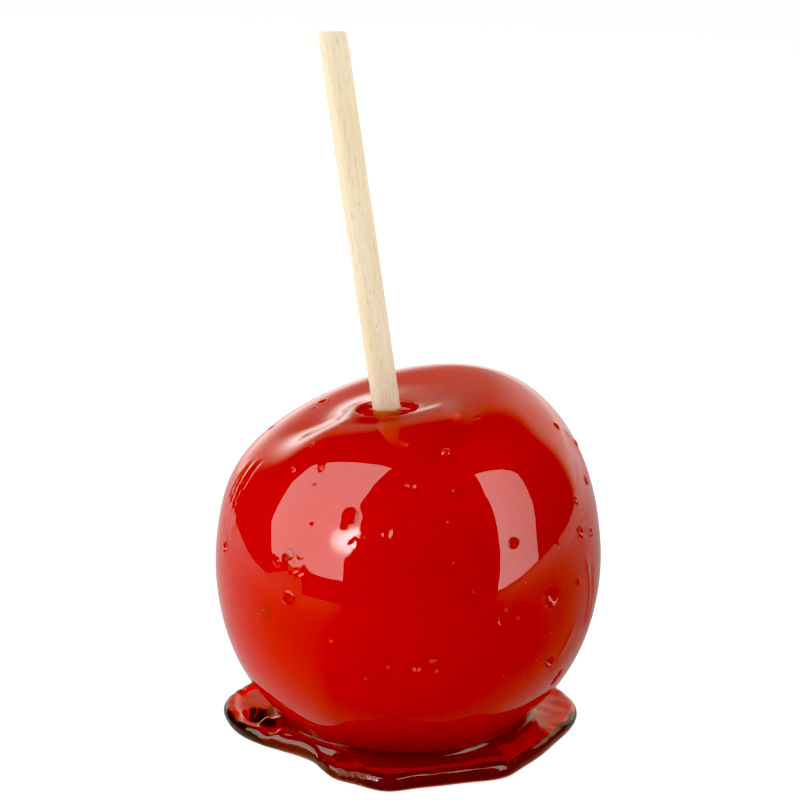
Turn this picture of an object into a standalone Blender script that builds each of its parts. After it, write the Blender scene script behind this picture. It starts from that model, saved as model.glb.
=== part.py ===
"""Toffee apple: a fruit on a wooden stick, dipped in clear red toffee.

The hot toffee ran down the fruit and set in a flat foot, on which the apple stands, and it pooled
round the stick and left a small pit there. There are three solids: the stick, the fruit, and the
toffee, which is one piece from the pit, over the fruit, to the rim of the foot.

The table is z = 0, +Z is up, -Y is the front, and the origin lies on the foot's underside below the
middle of the fruit. Lengths are in metres and angles in degrees. An azimuth is counted from +X
towards +Y, so 180 is the left and 270 is the front.
"""
import bmesh
import bpy
import numpy as np

# Clearance between pieces that touch
GAP = 0.0003

# Pose of the apple on the table: its axis leans to the left and a little back
CENTRE_HEIGHT = 0.0369
LEAN_LEFT = 8.0
LEAN_BACK = 1.0

# Coated apple, as (angle from its axis, distance from its centre) on three sides.
# The apple is lopsided: one shoulder stands higher than the other, and its front is round.
HIGH_SHOULDER_AZIMUTH = 45.0
HIGH_SIDE = (
    (0, 0.0370), (10, 0.0374), (22, 0.0404), (34, 0.0460), (48, 0.0474), (66, 0.0452),
    (90, 0.0424), (114, 0.0416), (136, 0.0417), (180, 0.0414),
)
LOW_SIDE = (
    (0, 0.0370), (10, 0.0372), (22, 0.0364), (34, 0.0379), (48, 0.0424), (66, 0.0432),
    (90, 0.0429), (114, 0.0436), (136, 0.0434), (180, 0.0420),
)
FRONT_SIDE = (
    (0, 0.0370), (12, 0.0378), (24, 0.0402), (31, 0.0410), (42, 0.0410), (56, 0.0413),
    (76, 0.0420), (97, 0.0430), (114, 0.0436), (136, 0.0434), (180, 0.0420),
)
FRONT_AZIMUTH = 247.0
FRONT_HALF_WIDTH = 28.0
FRONT_BLEND = 47.0

# Toffee over the fruit: a thin coat, and a deeper pool in the hollow round the stick
COAT = 0.0019
POOL = 0.0052
POOL_EDGE_ANGLE = 50.0
UNDER_FRUIT = 0.0022
FLAT_BOTTOM_SHARPNESS = 12

# Pit in the pool, as (distance from the stick's axis, height above the apple's centre)
PIT = ((0.0070, 0.0377), (0.0064, 0.0374), (0.0057, 0.0361), (0.0047, 0.0352))
PIT_FLOOR = 0.0349
PIT_TILT_SHARE = 0.5
COAT_START_ANGLE = 22.0

# Stick: a plain dowel, pushed in from the top a little in front of the apple's middle.
# Its axis is named by how far in front of the apple's centre it passes, and its own lean.
STICK_IN_FRONT = 0.0015
STICK_LEAN_LEFT = 7.6
STICK_LEAN_FORWARD = 4.0
STICK_DIAMETER = 0.0060
STICK_TOP = 0.1220
STICK_END = -0.0120
STICK_EASED_EDGE = 0.0003
STICK_SIDES = 24
BORE_RADIUS = STICK_DIAMETER / 2 + GAP

# Foot of set toffee: its reach from the origin, as (azimuth, reach), counted all round
FOOT_REACH = (
    (0, 0.0375), (20, 0.0352), (48, 0.0374), (78, 0.0357), (108, 0.0380), (140, 0.0368),
    (166, 0.0392), (182, 0.0414), (202, 0.0394), (226, 0.0338), (246, 0.0392), (264, 0.0402),
    (284, 0.0396), (305, 0.0415), (332, 0.0362),
)
FOOT_AT_APPLE = 0.0042
FOOT_AT_RIM = 0.0028
FOOT_TROUGH = 0.0006
FILLET_RISE = 0.0024
FILLET_WIDTH = 0.0024

# Swellings on top of the foot, as (azimuth, distance from the origin, radius, height)
FOOT_LUMPS = (
    (183, 0.0362, 0.0042, 0.0016),
    (207, 0.0340, 0.0028, 0.0011),
    (222, 0.0318, 0.0028, 0.0010),
    (238, 0.0340, 0.0030, 0.0009),
    (300, 0.0352, 0.0050, 0.0006),
    (4, 0.0345, 0.0040, 0.0007),
    (58, 0.0338, 0.0040, 0.0006),
    (106, 0.0345, 0.0045, 0.0008),
)

# Fineness of the meshes
AROUND = 72
COAT_ROWS = 14
POOL_ROWS = 2
FILLET_ROWS = 4
TOP_ROWS = 3
RIM_ROWS = 5
UNDERSIDE_ROWS = 2
FRUIT_ANGLES = (172, 160, 148, 134, 118, 102, 86, 70, 56, 44, 33, 22)


# --- Curves ---

def smooth_curve(points):
    """Natural cubic spline through (position, value) points."""
    x, y = np.array(points, float).T
    span = np.diff(x)
    system = np.eye(len(x))
    right_side = np.zeros(len(x))
    for i in range(1, len(x) - 1):
        system[i, i - 1:i + 2] = span[i - 1], 2 * (span[i - 1] + span[i]), span[i]
        right_side[i] = 6 * ((y[i + 1] - y[i]) / span[i] - (y[i] - y[i - 1]) / span[i - 1])
    bend = np.linalg.solve(system, right_side)

    def curve(t):
        i = np.clip(np.searchsorted(x, t) - 1, 0, len(span) - 1)
        a = (x[i + 1] - t) / span[i]
        b = 1 - a
        arch = (a ** 3 - a) * bend[i] + (b ** 3 - b) * bend[i + 1]
        return a * y[i] + b * y[i + 1] + arch * span[i] ** 2 / 6

    return curve


def closed_curve(points):
    """Smooth curve of the azimuth that runs on past 360 degrees without a kink."""
    wrapped = [(azimuth + turn, value) for turn in (-360, 0, 360) for azimuth, value in points]
    return smooth_curve(wrapped)


def ease(t):
    """Smooth step from 0 to 1."""
    t = np.clip(t, 0, 1)
    return t * t * (3 - 2 * t)


high_side = smooth_curve(HIGH_SIDE)
low_side = smooth_curve(LOW_SIDE)
front_side = smooth_curve(FRONT_SIDE)
foot_reach = closed_curve(FOOT_REACH)
CENTRE = np.array((0, 0, CENTRE_HEIGHT))
AZIMUTHS = np.arange(AROUND) * 360 / AROUND


# --- Directions and frames ---

def lean(left, back):
    """Turn from upright to a lean to the left and then to the back."""
    left, back = np.radians(left), np.radians(back)
    to_left = np.array((
        (np.cos(left), 0, -np.sin(left)),
        (0, 1, 0),
        (np.sin(left), 0, np.cos(left)),
    ))
    to_back = np.array((
        (1, 0, 0),
        (0, np.cos(back), np.sin(back)),
        (0, -np.sin(back), np.cos(back)),
    ))
    return to_back @ to_left


LEAN = lean(LEAN_LEFT, LEAN_BACK)
STICK_LEAN = lean(STICK_LEAN_LEFT, -STICK_LEAN_FORWARD)
STICK_MIDDLE = CENTRE - (0, STICK_IN_FRONT, 0)


def direction(angle, azimuth):
    """Unit vectors at an angle from +Z and an azimuth."""
    angle, azimuth = np.radians(angle), np.radians(azimuth)
    around = np.sin(angle)
    upward = np.cos(angle) + 0 * azimuth
    return np.stack((around * np.cos(azimuth), around * np.sin(azimuth), upward), -1)


def on_axis(height):
    """Point on the stick's axis, at a distance along it from its middle."""
    return STICK_MIDDLE + STICK_LEAN @ (0, 0, height)


def ring(radius, height, azimuths=AZIMUTHS, turn=STICK_LEAN):
    """Ring about the stick's axis, square to it unless it is turned another way."""
    return on_axis(height) + radius * direction(90, azimuths) @ turn.T


# --- The apple's shape ---

def angles_from_axis(outward):
    """Angle from the apple's axis, and azimuth about it, of directions from its centre."""
    local = outward @ LEAN
    angle = np.degrees(np.arccos(np.clip(local[..., 2], -1, 1)))
    azimuth = np.degrees(np.arctan2(local[..., 1], local[..., 0]))
    return angle, azimuth


def coat_radius(outward):
    """Distance from the apple's centre to the outside of the toffee coat."""
    angle, azimuth = angles_from_axis(outward)
    high = 0.5 + 0.5 * np.cos(np.radians(azimuth - HIGH_SHOULDER_AZIMUTH))
    from_front = np.abs((azimuth - FRONT_AZIMUTH + 180) % 360 - 180)
    front = ease(1 - (from_front - FRONT_HALF_WIDTH) / FRONT_BLEND)
    side = high_side(angle) * high + low_side(angle) * (1 - high)
    return side + (front_side(angle) - side) * front


def fruit_radius(outward):
    """Distance from the apple's centre to the fruit's skin, which is flat where it rests."""
    angle, _ = angles_from_axis(outward)
    pool_share = ease((POOL_EDGE_ANGLE - angle) / (POOL_EDGE_ANGLE - COAT_START_ANGLE))
    skin = coat_radius(outward) - COAT - (POOL - COAT) * pool_share
    down = np.clip(-outward[..., 2], 1e-3, 1)
    floor = (CENTRE_HEIGHT - UNDER_FRUIT) / down
    power = FLAT_BOTTOM_SHARPNESS
    return (skin ** -power + floor ** -power) ** (-1 / power)


def coat_point(angle, azimuth, share=0.0):
    """Point on the coat, from a direction that leans with the apple by a share of its lean."""
    outward = direction(angle, azimuth) @ lean(LEAN_LEFT * share, LEAN_BACK * share).T
    return CENTRE + coat_radius(outward)[..., None] * outward


def flank_angle(height):
    """Angle from +Z, at each azimuth, where the coat's lower flank is at a height over the table."""
    above = np.full(AROUND, 90.0)
    below = np.full(AROUND, 160.0)
    for _ in range(30):
        middle = (above + below) / 2
        high = coat_point(middle, AZIMUTHS)[:, 2] > height
        above = np.where(high, middle, above)
        below = np.where(high, below, middle)
    return above


# --- The foot's shape ---

def upright(reach, height):
    """Points at a reach from the origin and a height, one at each azimuth."""
    points = np.asarray(reach)[..., None] * direction(90, AZIMUTHS)
    points[:, 2] = height
    return points


def foot_top(reach, contact, rim):
    """Height of the foot's top: it falls from the apple, with a trough and lumps, to the rim."""
    outward = (reach - contact) / (rim - contact)
    height = FOOT_AT_APPLE + (FOOT_AT_RIM - FOOT_AT_APPLE) * ease(outward)
    height = height - FOOT_TROUGH * np.sin(np.pi * outward) ** 2
    place = upright(reach, 0.0)
    for azimuth, distance, radius, lump in FOOT_LUMPS:
        middle = distance * direction(90, azimuth)
        away = np.linalg.norm(place - middle, axis=-1)
        height = height + lump * np.exp(-(away / radius) ** 2)
    return height


def foot_rows(start_angle):
    """Rows of the foot from the middle of its underside to where it joins the coat."""
    rim = foot_reach(AZIMUTHS)
    contact_points = coat_point(flank_angle(FOOT_AT_APPLE), AZIMUTHS)
    contact = np.linalg.norm(contact_points[:, :2], axis=-1)
    round_over = FOOT_AT_RIM / 2
    top_end = rim - round_over
    top_start = contact + np.minimum(FILLET_WIDTH, 0.5 * (top_end - contact))
    rim_height = foot_top(top_end, contact, rim)

    rows = []
    for i in range(UNDERSIDE_ROWS):
        rows.append(upright(top_end * (i + 1) / (UNDERSIDE_ROWS + 1), 0.0))
    for i in range(RIM_ROWS):
        swing = np.pi * (i / (RIM_ROWS - 1) - 0.5)
        reach = top_end + round_over * np.cos(swing)
        rows.append(upright(reach, rim_height * (0.5 + 0.5 * np.sin(swing))))
    for i in range(1, TOP_ROWS + 1):
        reach = top_end + (top_start - top_end) * i / TOP_ROWS
        rows.append(upright(reach, foot_top(reach, contact, rim)))

    outer = rows[-1]
    corner = upright(contact, FOOT_AT_APPLE)
    upper = coat_point(start_angle, AZIMUTHS)
    for i in range(1, FILLET_ROWS):
        t = i / FILLET_ROWS
        rows.append((1 - t) ** 2 * outer + 2 * t * (1 - t) * corner + t * t * upper)
    return rows


# --- Meshes ---

def make_piece(name, rows, first_pole, last_pole, material):
    """Closed solid from rings of points, from one pole to the other."""
    mesh = bmesh.new()
    rings = [[mesh.verts.new(point) for point in row] for row in rows]
    for lower, upper in zip(rings, rings[1:]):
        for i in range(len(lower)):
            after = (i + 1) % len(lower)
            mesh.faces.new((lower[i], lower[after], upper[after], upper[i]))
    for pole, end, first in ((first_pole, rings[0], True), (last_pole, rings[-1], False)):
        tip = mesh.verts.new(pole)
        for i in range(len(end)):
            after = (i + 1) % len(end)
            mesh.faces.new((tip, end[after], end[i]) if first else (end[i], end[after], tip))
    data = bpy.data.meshes.new(name)
    mesh.to_mesh(data)
    mesh.free()
    data.shade_smooth()
    data.set_sharp_from_angle(angle=np.radians(50))
    data.materials.append(material)
    bpy.context.collection.objects.link(bpy.data.objects.new(name, data))


def make_material(name, colour, roughness, transmission=0.0):
    """Plain finish in a linear colour."""
    material = bpy.data.materials.new(name)
    material.use_nodes = True
    shader = material.node_tree.nodes["Principled BSDF"]
    shader.inputs["Base Color"].default_value = (*colour, 1)
    shader.inputs["Roughness"].default_value = roughness
    shader.inputs["Metallic"].default_value = 0.0
    shader.inputs["Transmission Weight"].default_value = transmission
    return material


def skin_on_axis():
    """Distance along the stick's axis to the fruit's skin."""
    height = fruit_radius(STICK_LEAN[:, 2])
    for _ in range(8):
        place = on_axis(height) - CENTRE
        distance = np.linalg.norm(place)
        height += fruit_radius(place / distance) - distance
    return height


def fruit_skin(offset):
    """Rows of the fruit's skin, raised by an offset, from its underside to the rim of the bore."""
    rows = []
    for angle in FRUIT_ANGLES:
        outward = direction(angle, AZIMUTHS) @ LEAN.T
        rows.append(CENTRE + (fruit_radius(outward) + offset)[:, None] * outward)
    rows.append(ring(BORE_RADIUS, skin_on_axis() + offset))
    return rows


def fruit_bottom(offset):
    """Lowest point of the fruit's skin, lowered by an offset."""
    down = LEAN @ (0, 0, -1)
    return CENTRE + (fruit_radius(down) + offset) * down


def make_stick():
    """Dowel with eased ends."""
    azimuths = np.arange(STICK_SIDES) * 360 / STICK_SIDES
    radius = STICK_DIAMETER / 2
    rows = [
        ring(radius - STICK_EASED_EDGE, STICK_END, azimuths),
        ring(radius, STICK_END + STICK_EASED_EDGE, azimuths),
        ring(radius, STICK_TOP - STICK_EASED_EDGE, azimuths),
        ring(radius - STICK_EASED_EDGE, STICK_TOP, azimuths),
    ]
    bottom, top = on_axis(STICK_END), on_axis(STICK_TOP)
    beech = make_material("beech", (0.80, 0.68, 0.47), 0.6)
    make_piece("stick", rows, bottom, top, beech)


def make_fruit():
    """Apple with a bore for the stick."""
    bore_end = STICK_END - GAP
    rows = fruit_skin(0.0) + [ring(BORE_RADIUS, bore_end)]
    skin = make_material("apple_skin", (0.42, 0.03, 0.02), 0.4)
    make_piece("apple", rows, fruit_bottom(0.0), on_axis(bore_end), skin)


def make_toffee():
    """Coat, pool and foot in one piece, hollow where the fruit sits and open at the stick."""
    start_angle = flank_angle(FOOT_AT_APPLE + FILLET_RISE)
    rows = foot_rows(start_angle)
    for i in range(COAT_ROWS + 1):
        share = i / COAT_ROWS
        angle = start_angle + (COAT_START_ANGLE - start_angle) * share
        rows.append(coat_point(angle, AZIMUTHS, ease(share)))
    pit_turn = lean(STICK_LEAN_LEFT * PIT_TILT_SHARE, 0)
    pit = [ring(radius, height, turn=pit_turn) for radius, height in PIT]
    for i in range(1, POOL_ROWS + 1):
        rows.append(rows[-1] + (pit[0] - rows[-1]) / (POOL_ROWS + 2 - i))
    rows += pit
    rows.append(ring(BORE_RADIUS, PIT_FLOOR))
    rows += reversed(fruit_skin(GAP))
    red_toffee = make_material("red_toffee", (0.60, 0.01, 0.01), 0.05, 0.3)
    make_piece("toffee", rows, (0, 0, 0), fruit_bottom(GAP), red_toffee)


for leftover in list(bpy.data.objects):
    bpy.data.objects.remove(leftover)
make_stick()
make_fruit()
make_toffee()
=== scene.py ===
"""Looks of a toffee apple: a fruit on a beech dowel, dipped in clear red hard-crack toffee.

There are three pieces, each standing for the solid of the same name in the frame:

- toffee_shell, the toffee in one piece: coat, pool round the stick with its pit, and foot
- apple_fruit, the fruit that shows through it
- beech_dowel, the stick

The table is z = 0, +Z is up and -Y is the front. Lengths are in metres and angles in degrees. An
azimuth is counted from +X towards +Y, so 180 is the left and 270 is the front.
"""

import bmesh
import bpy
import numpy as np
from mathutils import Matrix, Vector, noise


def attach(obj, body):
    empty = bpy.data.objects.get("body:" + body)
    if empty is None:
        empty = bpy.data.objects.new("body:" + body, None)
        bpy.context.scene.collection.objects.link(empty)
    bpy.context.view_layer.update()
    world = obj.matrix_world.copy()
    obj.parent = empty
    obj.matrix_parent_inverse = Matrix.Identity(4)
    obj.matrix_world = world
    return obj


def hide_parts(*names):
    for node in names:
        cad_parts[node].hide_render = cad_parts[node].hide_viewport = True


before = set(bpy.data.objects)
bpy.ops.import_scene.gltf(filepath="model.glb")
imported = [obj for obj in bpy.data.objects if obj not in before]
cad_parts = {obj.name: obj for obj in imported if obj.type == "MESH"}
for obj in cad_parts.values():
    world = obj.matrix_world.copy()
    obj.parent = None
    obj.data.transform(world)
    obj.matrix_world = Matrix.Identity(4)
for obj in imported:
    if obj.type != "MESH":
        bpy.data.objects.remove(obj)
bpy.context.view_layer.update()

MM = 0.001

# --- Form of the part, under the names that its solids use too ---

# Pose of the apple on the table: its axis leans to the left and a little back
CENTRE_HEIGHT = 0.0369
LEAN_LEFT = 8.0
LEAN_BACK = 1.0

# Coated apple, as (angle from its axis, distance from its centre) on three sides. The high side
# turns into the low one evenly all round
HIGH_SHOULDER_AZIMUTH = 45.0
HIGH_SIDE = (
    (0, 0.0370), (10, 0.0374), (22, 0.0404), (34, 0.0460), (48, 0.0474), (66, 0.0452),
    (90, 0.0424), (114, 0.0416), (136, 0.0417), (180, 0.0414),
)
LOW_SIDE = (
    (0, 0.0370), (10, 0.0372), (22, 0.0364), (34, 0.0379), (48, 0.0424), (66, 0.0432),
    (90, 0.0429), (114, 0.0436), (136, 0.0434), (180, 0.0420),
)
FRONT_SIDE = (
    (0, 0.0370), (12, 0.0378), (24, 0.0402), (31, 0.0410), (42, 0.0410), (56, 0.0413),
    (76, 0.0420), (97, 0.0430), (114, 0.0436), (136, 0.0434), (180, 0.0420),
)

# The front side holds for a half-width each way, and then blends into the other two. Near the top,
# between two angles from the axis, it is narrower on its left and wider on its right
FRONT_AZIMUTH = 247.0
FRONT_HALF_WIDTH = 28.0
FRONT_BLEND = 47.0
FRONT_NARROWS = (22.0, 46.0)
FRONT_LEAST = 0.6
FRONT_WIDENS = (22.0, 40.0)
FRONT_MOST = 2.6

# Toffee over the fruit: a thin coat, and a deeper pool in the hollow round the stick. The fruit and
# the toffee's wall overlap a little, so that no gap of air shows
COAT = 0.0019
POOL = 0.0042
POOL_EDGE_ANGLE = 50.0
UNDER_FRUIT = 0.0022
FLAT_BOTTOM_SHARPNESS = 12
COAT_START_ANGLE = 22.0
OVERLAP = 0.0003

# Where the coat ran thin, as (angle from upright, azimuth, half-width in degrees, coat there)
THIN_PLACE = (33.0, 50.0, 24.0, 0.0004)

# Pit in the pool, as (distance from the stick's axis, height above the apple's centre): over the
# rim, down to the floor, and up the thin sleeve of toffee on the stick
PIT = (
    (0.0073, 0.03759), (0.0071, 0.03756), (0.0069, 0.03745), (0.0068, 0.03725),
    (0.00672, 0.03685), (0.00668, 0.03645), (0.0066, 0.03605), (0.0064, 0.0357), (0.0060, 0.0354),
    (0.0053, 0.0353), (0.0045, 0.0353), (0.0038, 0.03545), (0.0034, 0.0358), (0.00322, 0.0365),
    (0.00315, 0.0372), (0.00311, 0.03765), (0.00302, 0.03785), (0.0028, 0.0376),
)

# Lean of the pit's wall, and the teeth that crinkle it at its left and right ends: their depth,
# the share of the way to an end where they start and the share they grow in, how close they
# stand, and the row of the pit where they are deepest, with how many rows they fade over
PIT_TILT_SHARE = 0.4
PIT_TILT_BACK = 3.0
PIT_TEETH = 0.00044
TEETH_START = 0.80
TEETH_GROWTH = 0.16
TEETH_CLOSENESS = 11.0
TEETH_ROW = 3
TEETH_ROWS = 2.2

# Stick: a plain dowel, pushed in from the top a little in front of the apple's middle
STICK_IN_FRONT = 0.0015
STICK_LEAN_LEFT = 7.6
STICK_LEAN_FORWARD = 4.0
STICK_DIAMETER = 0.0060
STICK_TOP = 0.1220
STICK_END = -0.0120
INNER_BORE = 0.0027

# Its top: the slope of the saw cut, how far the middle of the cut is below the stick's full height,
# the length in which the dowel's rings take up the slope, and the radius of the eased edge
TOP_CUT_SLOPE = 13.0
TOP_CUT_DROP = 0.0003
TOP_CUT_REACH = 0.004
EASED_EDGE = 0.00015

# The dowel isn't quite even: how far it strays, and its waves to the metre across and along it
UNEVENNESS = 0.0002
UNEVEN_WAVES = (120, 120, 45)

# Foot of set toffee: its reach from the origin, as (azimuth, reach), counted all round
FOOT_REACH = (
    (0, 0.0375), (20, 0.0352), (48, 0.0374), (78, 0.0357), (108, 0.0380), (140, 0.0368),
    (166, 0.0392), (178, 0.0417), (187, 0.0411), (198, 0.0394), (208, 0.0367), (218, 0.0343),
    (226, 0.0335), (233, 0.0342), (239, 0.0363), (245, 0.0384), (251, 0.0391), (257, 0.0404),
    (263, 0.0414), (270, 0.0400), (279, 0.0389), (291, 0.0389), (302, 0.0398), (309, 0.0384),
    (318, 0.0372), (334, 0.0362),
)

# Height of the foot at the apple and at its rim, the trough between them, the fillet against the
# apple, and the share of the way out in which the folds and wrinkles come up
FOOT_AT_APPLE = 0.0036
FOOT_AT_RIM = 0.0033
FOOT_TROUGH = 0.0004
FILLET_RISE = 0.0038
FILLET_WIDTH = 0.0044
FOLDS_START = 0.25

# Swellings and hollows on top of the foot, as (azimuth, distance from the origin, radius, height)
FOOT_LUMPS = (
    (192, 0.0350, 0.0034, -0.0016),
    (199, 0.0334, 0.0018, 0.0018),
    (240, 0.0342, 0.0030, 0.0006),
    (300, 0.0352, 0.0050, 0.0003),
    (58, 0.0338, 0.0040, 0.0006),
    (106, 0.0345, 0.0045, 0.0008),
)

# Folds of the foot, where the toffee ran out in ribbons: height and half-width in millimetres, then
# the line that each one follows, as (azimuth, distance from the origin). A height under 0 is a
# groove
FOOT_FOLDS = (
    (1.4, 1.5, ((211, 32.6), (216, 32.0), (224, 31.4), (234, 31.4), (244, 32.6))),
    (-0.8, 1.1, ((209, 36.6), (214, 34.8), (223, 33.6), (232, 33.4), (240, 33.8))),
    (0.7, 1.2, ((196, 39.6), (204, 38.6), (213, 36.8), (223, 35.2), (233, 34.8))),
    (0.7, 0.8, ((204, 37.6), (210, 36.2), (213, 33.8))),
    (0.5, 1.0, ((174, 39.6), (184, 39.4), (194, 38.0), (204, 36.4))),
    (0.6, 1.3, ((254, 37.4), (263, 39.2), (271, 37.8), (279, 36.9), (291, 36.9), (301, 37.8))),
    (-0.6, 1.9, ((256, 34.0), (266, 34.0), (279, 32.6), (291, 32.4), (303, 33.6))),
    (0.2, 1.2, ((348, 28.6), (338, 30.2), (328, 32.4), (313, 36.6))),
    (0.7, 1.4, ((76, 33.2), (92, 34.6), (112, 35.6), (132, 35.0))),
    (0.6, 1.2, ((140, 32.4), (150, 34.0), (160, 36.2), (171, 38.4))),
    (0.4, 1.1, ((26, 32.0), (38, 34.2), (50, 35.4))),
)

# Height and length of the wrinkles all over the foot
FOOT_WRINKLES = 0.00012
FOOT_WRINKLE_LENGTH = 0.003

# Marks in the coat, sizes in millimetres. Burst bubbles, as (angle from upright, azimuth, radius,
# depth); a depth under 0 is a bubble that did not burst
BUBBLES = (
    (46.8, 270.4, 1.0, 0.4),
    (61.0, 262.4, 1.35, 0.42), (62.4, 254.6, 0.55, 0.45), (26.9, 317.9, 0.9, 0.08),
    (47.5, 214.6, 0.5, 0.35), (44.5, 229.2, 0.7, 0.3), (49.2, 229.8, 0.6, 0.12),
    (61.3, 235.5, 0.5, 0.4), (74.3, 225.6, 0.8, 0.6), (84.1, 232.3, 1.15, 0.95),
    (79.2, 196.1, 1.1, 0.8), (104.8, 260.8, 0.6, 0.5), (94.3, 262.7, 0.85, 0.65),
    (99.6, 271.9, 1.2, 0.85), (97.2, 276.4, 0.95, 0.7), (32.4, 267.3, 0.8, 0.6),
    (36.2, 287.9, 1.05, -0.35), (58.3, 271.7, 0.5, 0.4), (67.0, 303.2, 1.25, 1.0),
    (67.2, 303.2, 0.5, -0.7), (85.2, 315.0, 2.3, 1.2), (106.6, 317.1, 1.5, 1.3),
    (21.2, 215.4, 0.7, 0.2), (52.3, 359.7, 1.5, -0.55), (44.0, 352.0, 1.1, -0.4),
    (61.0, 350.0, 1.3, 0.7), (71.5, 333.0, 1.2, 0.6), (62.5, 334.7, 1.0, 0.4),
    (74.0, 341.0, 1.0, 0.55), (84.5, 327.8, 0.7, 0.5), (38.0, 215.0, 0.5, 0.24),
    (88.0, 296.0, 0.5, 0.24), (72.0, 320.0, 0.5, 0.19), (98.5, 265.5, 0.45, 0.3),
)

# A bubble up to this radius is a steep hollow inside a low lip, and a larger one slumped to a dish.
# The lip's height is a share of the depth, and its place and width are shares of the radius, as is
# the reach past which nothing of the bubble is left
SMALL_BUBBLE = 1.2
STEEP_WALL = 0.75
SLUMPED_WALL = 1.2
LIP_SHARE = 0.13
LIP_PLACE = 1.15
LIP_WIDTH = 0.28
BUBBLE_REACH = 2.5

# Large bubbles that tore open and slumped, deepest on their right, as (angle, azimuth, radius,
# depth), and how steep their walls are
TORN_BUBBLES = (
    (57.0, 248.7, 1.80, 1.30), (59.8, 247.7, 1.10, 0.70),
)
TORN_WALL = 0.35

# Bubbles of air caught under the skin of the coat, as (angle, azimuth, radius, half their depth)
AIR_BUBBLES = (
    (100.1, 263.8, 0.65, 0.40), (101.4, 277.6, 0.70, 0.40), (79.0, 288.6, 0.60, 0.45),
    (70.0, 283.3, 0.50, 0.35), (88.8, 302.7, 0.70, 0.50), (85.6, 298.7, 0.50, 0.40),
    (36.2, 287.9, 1.05, 0.65), (49.1, 286.7, 0.55, 0.35), (58.2, 282.8, 0.50, 0.30),
    (71.5, 229.5, 1.25, 0.55), (90.9, 222.3, 1.20, 0.70),
    (62.9, 255.4, 0.45, 0.45), (104.5, 257.0, 0.50, 0.35), (94.0, 247.0, 0.40, 0.30),
    (66.0, 20.0, 0.8, 0.6), (84.0, 48.0, 1.0, 0.7), (73.0, 74.0, 0.7, 0.55),
    (95.0, 101.0, 0.9, 0.65), (60.0, 118.0, 0.8, 0.6), (88.0, 139.0, 1.1, 0.7),
    (71.0, 160.0, 0.7, 0.55), (103.0, 66.0, 0.6, 0.5), (100.0, 170.0, 0.8, 0.6),
)

# Millimetres of toffee left over each one, how high and how wide the coat swells there as shares of
# its radius, and the fineness of its wall
AIR_BUBBLE_SKIN = 0.35
AIR_BUBBLE_SWELL = 0.13
AIR_BUBBLE_SPREAD = 0.8
AIR_BUBBLE_SIDES = 18
AIR_BUBBLE_ROWS = 9

# Shallow dishes, where the toffee sagged as it set, as (angle, azimuth, radius, depth). A depth
# under 0 is a swelling
DENTS = (
    (59.6, 254.3, 2.3, -0.24), (23.2, 221.6, 1.0, 0.06), (37.5, 173.0, 2.4, 0.12),
    (67.0, 303.2, 2.2, 0.05), (85.6, 315.6, 3.2, 0.26), (107.8, 318.6, 2.2, 0.18),
    (52.3, 352.0, 2.5, 0.12), (84.1, 232.3, 1.8, 0.08), (90.9, 222.3, 2.0, 0.10),
)

# Furrows, with heights under 0, and runs, as height, half-width and the line of each as (angle,
# azimuth)
FURROWS = (
    (0.13, 0.34, ((64.6, 253.6), (66.2, 252.8), (68.0, 251.0))),
    (0.13, 0.40, ((53.4, 187.5), (57.6, 189.5), (61.5, 190.7), (65.1, 191.9), (68.0, 192.9))),
    (-0.13, 0.35, ((54.7, 185.8), (59.0, 188.0), (63.2, 189.2), (67.1, 190.2))),
    (0.10, 0.35, ((55.5, 183.2), (59.0, 184.3), (63.0, 185.3), (67.0, 187.0))),
    (-0.12, 0.40, ((52.5, 190.5), (57.0, 192.6), (61.0, 194.0))),
    (0.16, 1.3, ((69.5, 199.5), (72.0, 198.5))),
    (-0.16, 0.35, ((70.0, 187.7), (73.6, 192.6), (75.8, 197.8))),
    (0.22, 0.6, ((80.0, 334.5), (90.0, 336.5), (101.0, 336.0))),
    (-0.22, 0.6, ((84.0, 338.0), (94.0, 339.5), (103.0, 338.0))),
    (-0.75, 0.50, ((113.8, 327.0), (117.6, 325.0))),
    (0.16, 0.6, ((106.0, 321.6), (99.0, 326.5))),
    (0.25, 0.9, ((48.0, 357.0), (56.0, 358.0), (62.0, 354.0))),
)

# Places where the skin of the coat crazed, as (angle, azimuth, radius, height). The crazing ends
# within so many radii, more sharply with a higher power, and has crinkles of one length in metres
CRAZED_PLACES = (
    (74.0, 233.5, 3.0, 0.10), (64.0, 192.0, 3.6, 0.12), (70.0, 338.0, 4.0, 0.10),
)
CRAZED_REACH = 1.5
CRAZED_EDGE = 4
CRAZE_LENGTH = 0.0011

# Where the front of the foot crinkled as it ran, how far round it, the share of that where the
# crinkles are at their full height, and their length and height
FROSTY_PLACE = (-0.0128, -0.0372, 0.0025)
FROSTY_RADIUS = 0.0055
FROSTY_CORE = 0.4
CRINKLE_LENGTH = 0.0008
CRINKLE_HEIGHT = 0.0006

# Slow waves of the set surface, as (length, height, shift of their pattern)
RIPPLES = ((0.014, 0.00010, 0.0), (0.006, 0.000014, 0.2))

# The sides and back are strewn with more small bubbles: their count, and the limits of their
# angles, azimuths, radii and depths, these last as shares of the radius
STREWN_BUBBLES = 18
STREWN_ANGLES = (35, 112)
STREWN_AZIMUTHS = (5, 175)
STREWN_RADII = (0.4, 1.2)
STREWN_DEPTHS = (0.25, 0.5)
STREWN_SEED = 11

# Searches for where two surfaces meet: the limits of the coat's lower flank, as angles from +Z, and
# how many steps each search takes
FLANK_ANGLES = (90.0, 160.0)
HALVINGS = 30
STEPS_TO_SKIN = 8

# Fineness of the meshes, as points in a ring and rings in each stretch
AROUND = 288
COAT_ROWS = 98
POOL_ROWS = 12
FILLET_ROWS = 12
TOP_ROWS = 22
RIM_ROWS = 13
UNDERSIDE_ROWS = 6
FRUIT_ROWS = 40
CAVITY_ROWS = 11

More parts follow.
